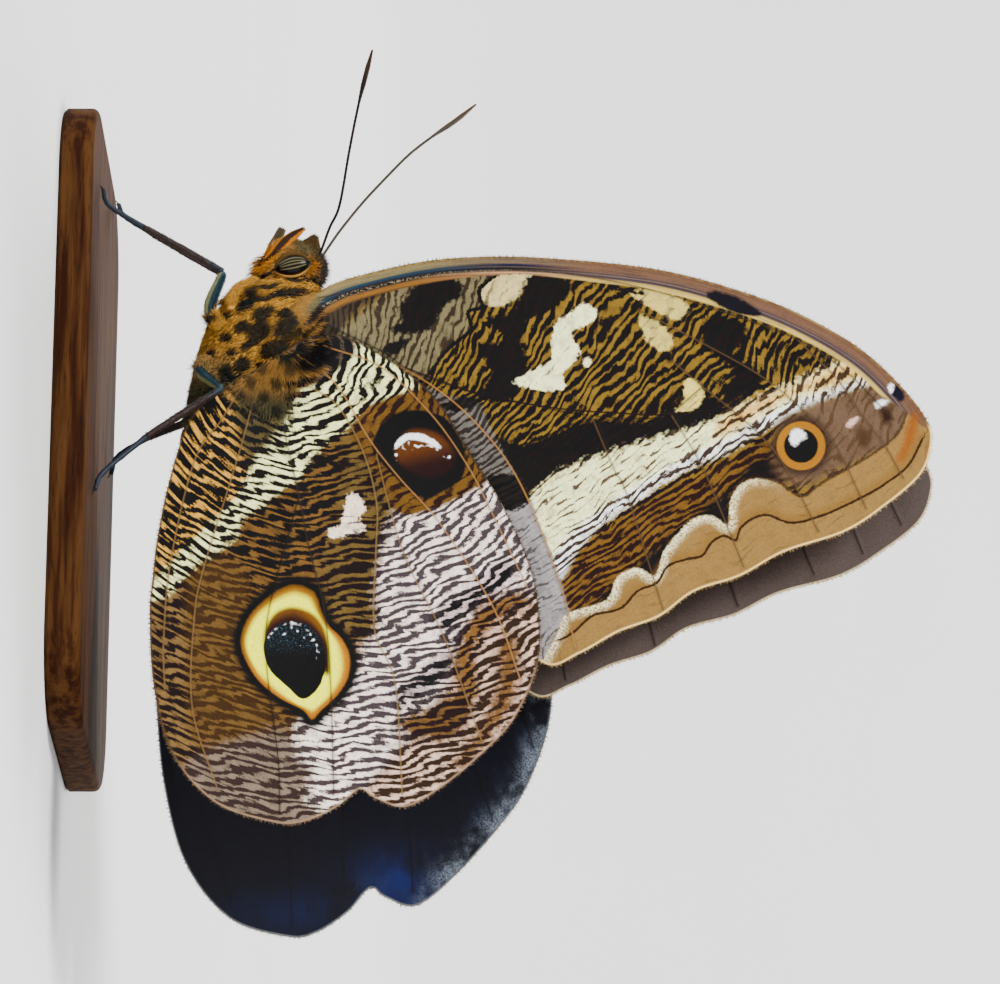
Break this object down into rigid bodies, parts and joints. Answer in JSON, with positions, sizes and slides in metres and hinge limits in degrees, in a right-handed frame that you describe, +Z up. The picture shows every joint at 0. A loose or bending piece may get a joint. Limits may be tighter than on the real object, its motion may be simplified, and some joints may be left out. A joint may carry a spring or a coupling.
{
  "type": "owl butterfly model",
  "caption": "Life-size owl butterfly standing with its wings raised over its back, on a thin wooden base, for display.",
  "frame": {"origin": "middle of the base's underside", "axes": "+X towards the head, +Y to the insect's left, +Z up towards its back and wings"},
  "size_m": [0.105, 0.042, 0.1017],
  "materials": {
    "base": "satin, dark brown, fine grain",
    "body": "dense soft hair, orange-tan with dark teal spots",
    "abdomen": "short hair, tan-brown",
    "eyes": "glossy, brown-black with pale stripes",
    "palps": "short scales, orange with a dark stripe",
    "proboscis": "satin, dark brown",
    "antennae": "satin, dark maroon-brown",
    "forewings": "fine powdery scales, ochre, brown and cream pattern",
    "hindwings": "fine powdery scales, cream, ochre and brown pattern with an eyespot",
    "femora": "satin, dark teal",
    "tibiae": "satin, dark grey-brown",
    "tarsi": "satin, dark blue-grey"
  },
  "bodies": {
    "root": {"stand_base": "base", "head": "body", "thorax": "body", "abdomen": "abdomen", "eye_left": "eyes", "eye_right": "eyes", "palp_left": "palps", "palp_right": "palps", "proboscis": "proboscis", "antenna_left": "antennae", "antenna_right": "antennae", "forewing_left": "forewings", "forewing_right": "forewings", "hindwing_left": "hindwings", "hindwing_right": "hindwings", "foreleg_left": "body", "foreleg_right": "body", "midleg_left_femur": "femora", "midleg_left_tibia": "tibiae", "midleg_left_tarsus": "tarsi", "midleg_right_femur": "femora", "midleg_right_tibia": "tibiae", "midleg_right_tarsus": "tarsi", "hindleg_left_femur": "femora", "hindleg_left_tibia": "tibiae", "hindleg_left_tarsus": "tarsi", "hindleg_right_femur": "femora", "hindleg_right_tibia": "tibiae", "hindleg_right_tarsus": "tarsi"}
  },
  "joints": []
}
